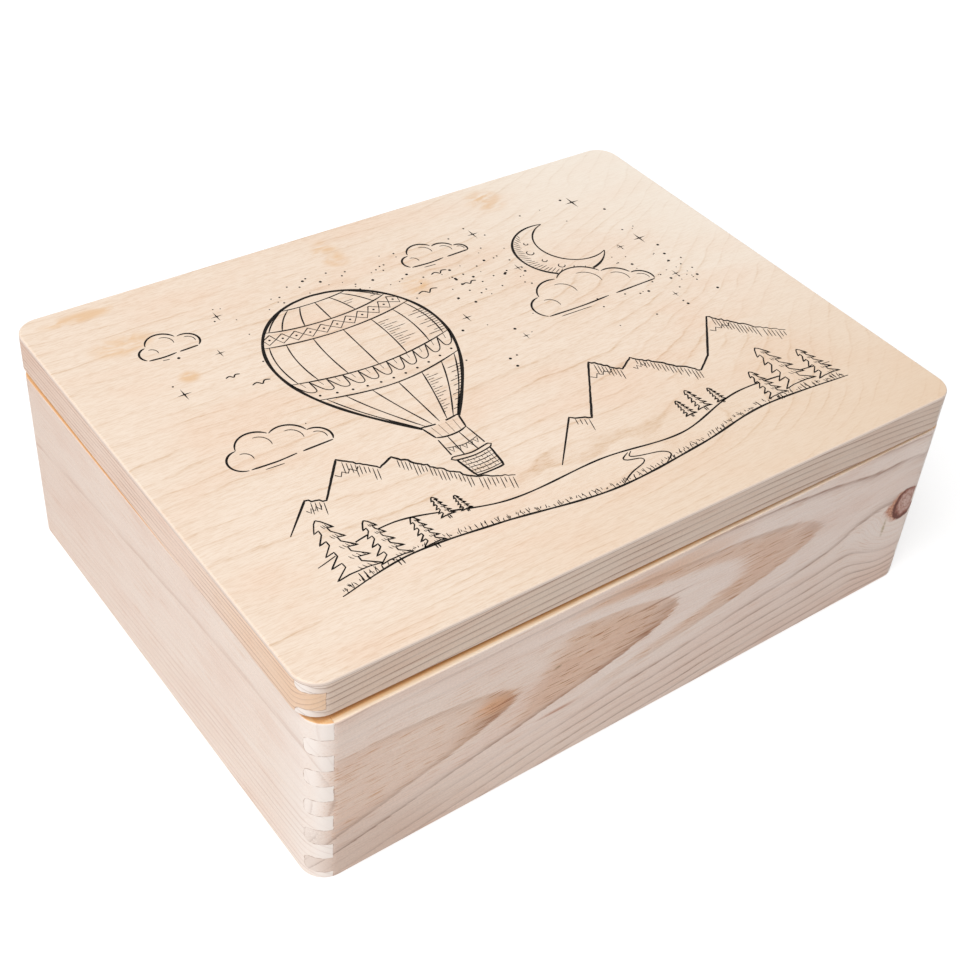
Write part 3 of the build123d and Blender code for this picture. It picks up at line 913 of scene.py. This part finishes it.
def moon(x, y):
    """A crescent moon, open to the right, hatched along its rim and pitted with a few craters."""
    radius, bite_radius = 27, 22.0
    bite = (x + 12.0, y + 4.5)
    rim = [p for p in arc(x, y, radius, radius, 17, 377) if math.dist(p, bite) > bite_radius]
    inner = [p for p in arc(*bite, bite_radius, bite_radius, 21, 381) if math.dist(p, (x, y)) < radius]
    stroke(rim, 1.1)
    stroke(inner, 0.8)
    for n in range(30):
        depth = 2.6 + 2.2 * math.sin(math.pi * n / 29) + 0.5 * (n % 3)
        hatch = []
        for m in range(4):
            reach = radius - 0.8 - depth * m / 3
            angle = math.radians(120 + 5.2 * n + 1.6 * m)
            hatch.append((x + reach * math.cos(angle), y + reach * math.sin(angle)))
        stroke(hatch, 0.35)
    craters = ((-17.5, 4, 2.2), (-15, -6.5, 1.5), (-9.5, -15.5, 2.0), (-14, 13, 1.3), (-3, -20.5, 1.2))
    for across, up, size in craters:
        stroke(arc(x + across, y + up, size, size, 100, 350), 0.5)
    cover(rim + list(reversed(inner)))


def star(x, y, size):
    """A four-pointed sparkle."""
    if hidden((x, y)):
        return
    outline = []
    for n in range(8):
        reach = size * (1.0 if n % 2 == 0 else 0.16)
        angle = math.radians(45 * n + 90)
        upright = 1.25 if n in (0, 4) else 1.0
        outline.append((x + reach * math.cos(angle), y + reach * upright * math.sin(angle)))
    blots.append(outline)


def mountain(ridge, foot, snow):
    """A rocky ridge with snow lines under its peaks and hatching on its right-hand slopes."""
    path = []
    for start, end in zip(ridge, ridge[1:]):
        steps = max(3, int(math.dist(start, end) / 1.6))
        for n, (x, y) in enumerate(straight(start, end, steps)[:-1]):
            jag = 0.5 * chance.uniform(-1, 1) if n else 0.0
            path.append((x + jag, y + jag))
    path.append(ridge[-1])
    stroke(path, 0.95)
    for across, up, width in snow:
        stroke([
            (across - width + 2 * width * n / 6, up - (2.6 if n % 2 else 0.0) - 0.25 * abs(n - 3))
            for n in range(7)
        ], 0.5, thin=False)
    for start, end in zip(ridge, ridge[1:]):
        if end[1] < start[1]:
            for x, y in straight(start, end, int(math.dist(start, end) / 2.0))[1:-1]:
                long = 4.0 + 5.0 * chance.random()
                line = [(x - 0.32 * long * m / 4, y - 1.4 - long * m / 4) for m in range(5)]
                if line[-1][1] > foot:
                    stroke(line, 0.35)
    cover(path + [(ridge[-1][0], foot), (ridge[0][0], foot)])


def ground(points, width, foot):
    """A rolling line of the land, hiding what lies behind it."""
    path = smooth(points)
    stroke(path, width)
    cover(path + [(points[-1][0], foot), (points[0][0], foot)])
    return path


# The meadow in front, with grass along it and a path across it
for x, tall in ((-143, 46), (-124, 34), (131, 42), (150, 30), (113, 27), (-104, 24)):
    fir(x, -104 - 0.03 * abs(x), tall)
meadow = ground([
    (-158, -111), (-118, -104), (-70, -108), (-10, -117), (50, -113), (100, -106), (158, -110),
], 0.95, -120)
for x, y in meadow[4:-4:3]:
    for blade in range(2):
        lean = chance.uniform(-1.6, 1.6)
        tall = chance.uniform(2.2, 4.6)
        at = x + chance.uniform(-1.5, 1.5)
        stroke([(at, y), (at + 0.35 * lean, y + 0.6 * tall), (at + lean, y + tall)], 0.4)
for side in (
    [(-2, -116), (6, -112), (16, -109), (17, -106), (10, -103.5), (9, -101.5), (14, -99)],
    [(26, -115), (32, -111), (29, -107), (17, -103.8), (13, -101.6), (16, -99)],
):
    stroke(smooth(side), 0.6)

# The balloon, the moon and the clouds about them
cloud(-16, [(-150, -8, 8), (-139, -2, 11), (-123, -5, 11), (-111, -11, 8)])
cloud(14, [(58, 22, 10), (72, 29, 14), (90, 31, 16), (108, 24, 12), (121, 18, 8)])
cloud(86, [(-149, 91, 6), (-140, 96, 9), (-128, 92, 7)])
balloon(-52, 44)
moon(99, 67)
cloud(92, [(17, 97, 6), (27, 102, 9), (39, 98, 8), (48, 95, 5)])

# The land behind
for x, tall in ((-88, 17), (-78, 13), (62, 15), (72, 19), (84, 14)):
    fir(x, -97 + 0.04 * abs(x), tall)
ground([(-158, -90), (-112, -82), (-58, -97), (0, -96), (48, -101), (98, -90), (158, -96)], 0.8, -112)
mountain([
    (-158, -66), (-140, -48), (-131, -53), (-112, -30), (-97, -46), (-88, -42), (-62, -74), (-44, -84),
], -100, [(-112, -39, 6.5), (-139, -54, 4)])
mountain([
    (-20, -90), (6, -62), (16, -68), (44, -30), (56, -44), (66, -38), (92, -66), (104, -58), (128, -30),
    (146, -52), (158, -62),
], -104, [(44, -40, 7), (128, -40, 7), (66, -45, 4)])

# Birds, stars and star dust
for x, y, size in ((8, 66, 5.5), (24, 79, 4.5), (33, 62, 4), (-112, 40, 4.5), (-122, 52, 3.5)):
    for side in (-1, 1):
        wing = [(x, y), (x + side * 0.5 * size, y + 0.55 * size), (x + side * 1.15 * size, y + 0.35 * size)]
        stroke(smooth(wing, 0.5), 0.6)
for x, y, size in (
    (138, 104, 5), (64, 104, 4), (132, 50, 3), (148, 52, 4.5), (-150, 52, 4), (-118, 74, 3), (12, 36, 3.5),
    (66, 62, 3), (142, 12, 3), (-104, 104, 3.5), (128, -4, 2.5), (30, 6, 2.6),
):
    star(x, y, size)
for grain in range(DUST_TRIES):
    x = chance.uniform(-156, 156)
    y = chance.uniform(-20, 112)
    # Dust gathers along a band that falls to the right, clear of the moon
    near = 0.85 * math.exp(-((y - 92 + 0.5 * x) / 30) ** 2) + 0.05
    if chance.random() < near and math.dist((x, y), (99, 67)) > 30:
        dot(x, y, chance.choice((0.4, 0.45, 0.6, 0.65, 0.95)))


def printing_ink(name):
    """Black screen-printing ink on birch: a flat near-black that has soaked in and left no film to shine, browner
    and thinner where it crosses the pores."""
    material, tree, shader = new_material(name, {"IOR": 1.5, "Specular IOR Level": 0.12})
    pores = birch_pores(tree, place_in_board(tree, 0, "lid"))
    shade = add(tree, "ValToRGB", [pores], [(0.3, "#0C0A09"), (0.55, "#15110E"), (0.72, "#34281F")])
    finish_surface(tree, shader, shade, pores, 0.15, 0.05, pores, 0.6, 0.75)
    return material


def ink_on_lid(name):
    """The drawing as one mesh of thin closed ribbons and spots of ink, a hair proud of the lid."""
    points = []
    faces = []
    for run in inked:
        for number, (x, y, width) in enumerate(run):
            before = run[max(number - 1, 0)]
            after = run[min(number + 1, len(run) - 1)]
            along = Vector((after[0] - before[0], after[1] - before[1]))
            if len(run) < 2 or along.length < 1e-6:
                along = Vector((1.0, 0.0))
            side = Vector((-along.y, along.x)).normalized() * width / 2
            left, right = (x + side.x, y + side.y), (x - side.x, y - side.y)
            last = len(points)
            points += [(*left, INK_HEIGHT), (*right, INK_HEIGHT), (*right, -INK_HEIGHT), (*left, -INK_HEIGHT)]
            if number:
                faces += [
                    (last - 4 + n, last - 4 + (n + 1) % 4, last + (n + 1) % 4, last + n) for n in range(4)
                ]
            if len(run) > 1 and number == 0:
                faces.append((last + 3, last + 2, last + 1, last))
            if len(run) > 1 and number == len(run) - 1:
                faces.append((last, last + 1, last + 2, last + 3))
    for outline in blots:
        count = len(outline)
        first = len(points)
        points += [(*point, height) for height in (INK_HEIGHT, -INK_HEIGHT) for point in outline]
        faces.append(tuple(range(first, first + count)))
        faces.append(tuple(range(first + 2 * count - 1, first + count - 1, -1)))
        faces += [
            (first + n, first + count + n, first + count + (n + 1) % count, first + (n + 1) % count)
            for n in range(count)
        ]
    seat = Matrix.Translation((box_middle.x + LID_SHIFT.x, box_middle.y + LID_SHIFT.y, lid_top))
    seat = seat @ Matrix.Rotation(LID_TURN, 4, "Z")
    mesh = bpy.data.meshes.new(name)
    mesh.from_pydata([(seat @ Vector(point)) * MM for point in points], [], faces)
    mesh.validate()
    mesh.materials.append(printing_ink("black_printing_ink"))
    drawing = bpy.data.objects.new(name, mesh)
    bpy.context.collection.objects.link(drawing)
    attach(drawing, "lid")


ink_on_lid("lid_drawing")


# ---- Brassed steel ----


def brassed_steel(name):
    """Rolled steel plated with bright brass: a warm metal with faint handling haze and fine rolling lines, drawn
    2.5 mm long and nine to the millimetre so that they show."""
    material, tree, shader = new_material(name, {"Metallic": 1.0})
    where = add(tree, "TexCoord")
    lines_place = add(tree, "VectorMath DIVIDE", [(where, "Object"), (2.5 * MM, MM / 9, MM / 9)])
    lines = add(tree, "TexNoise", {"Vector": lines_place, "Scale": 1.0, "Detail": 3.0})
    haze = add(tree, "TexNoise", {"Vector": (where, "Object"), "Scale": 260.0, "Detail": 3.0})
    shade = add(tree, "ValToRGB", [haze], [(0.3, "#D9B56A"), (0.7, "#C39C50")])
    finish_surface(tree, shader, shade, lines, 0.12, 0.02, haze, 0.22, 0.38)
    return material


brass = brassed_steel("brassed_steel")
for node_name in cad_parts:
    if "hinge" in node_name:
        finish_with(node_name, brass)


# ---- Floor, light and camera ----


def seen_rays(tree):
    """1 for the rays that show the surround as a plain white background, 0 for those that light the box."""
    path = add(tree, "LightPath")
    seen = add(tree, "Math MAXIMUM", [(path, "Is Camera Ray"), (path, "Is Transmission Ray")])
    return add(tree, "Math MAXIMUM", [seen, (path, "Is Glossy Ray")])


def studio():
    """A white floor, a soft window of light high on the left, and an even surround."""
    half = 8.0
    mesh = bpy.data.meshes.new("studio_floor")
    corners = [(-half, -half, 0), (half, -half, 0), (half, half, 0), (-half, half, 0)]
    mesh.from_pydata(corners, [], [(0, 1, 2, 3)])
    floor = bpy.data.objects.new("studio_floor", mesh)
    bpy.context.collection.objects.link(floor)
    material, tree, shader = new_material("white_floor", {"Roughness": 0.9, "Emission Color": (1, 1, 1, 1)})
    # Near the box the floor keeps its shadow, and further off it runs into the white surround
    where = add(tree, "TexCoord")
    away = add(tree, "VectorMath LENGTH", [(where, "Object")])
    glow = add(tree, "MapRange", [(away, "Value"), 0.5, 2.2, 0.5, 1.0])
    lift = add(tree, "Math MULTIPLY", [seen_rays(tree), glow])
    speckle = add(tree, "TexNoise", {"Scale": 3.0, "Detail": 1.0})
    shade = add(tree, "ValToRGB", [speckle], [(0.0, "#CECECE"), (1.0, "#D2D2D2")])
    tree.links.new(shade.outputs[0], shader.inputs["Base Color"])
    tree.links.new(lift.outputs[0], shader.inputs["Emission Strength"])
    floor.data.materials.append(material)

    world = bpy.data.worlds.new("even_surround")
    bpy.context.scene.world = world
    world.use_nodes = True
    tree = world.node_tree
    level = add(tree, "MapRange", [seen_rays(tree), 0.0, 1.0, 0.4, 1.0])
    background = tree.nodes["Background"]
    background.inputs["Color"].default_value = (1, 1, 1, 1)
    tree.links.new(level.outputs[0], background.inputs["Strength"])

    lamp = bpy.data.lights.new("soft_window", "AREA")
    lamp.shape = "RECTANGLE"
    lamp.size = 4.0
    lamp.size_y = 4.0
    lamp.energy = 212.0
    window = bpy.data.objects.new("soft_window", lamp)
    toward = Vector((-0.56, -0.24, 0.80)).normalized()
    window.location = toward * 5.0
    window.rotation_euler = toward.to_track_quat("Z", "Y").to_euler()
    bpy.context.collection.objects.link(window)


def set_camera():
    """The camera stands high at the front-left, its horizon tipped slightly, with its view centred."""
    azimuth = math.radians(-39.400)
    elevation = math.radians(40.438)
    roll = math.radians(5.030)
    distance = 0.85268
    target = Vector((-12.993, box_middle.y - 16.288, 66.75)) * MM
    lens = bpy.data.cameras.new("camera")
    lens.sensor_width = 36.0
    lens.lens = 58.79
    lens.clip_start = 0.01
    camera = bpy.data.objects.new("camera", lens)
    stance = Matrix.Rotation(azimuth, 4, "Z") @ Matrix.Rotation(math.pi / 2 - elevation, 4, "X")
    stance = stance @ Matrix.Rotation(roll, 4, "Z")
    camera.matrix_world = Matrix.Translation(target + stance.col[2].to_3d() * distance) @ stance
    bpy.context.collection.objects.link(camera)
    bpy.context.scene.camera = camera


studio()
set_camera()
bpy.context.scene.view_settings.view_transform = "Standard"
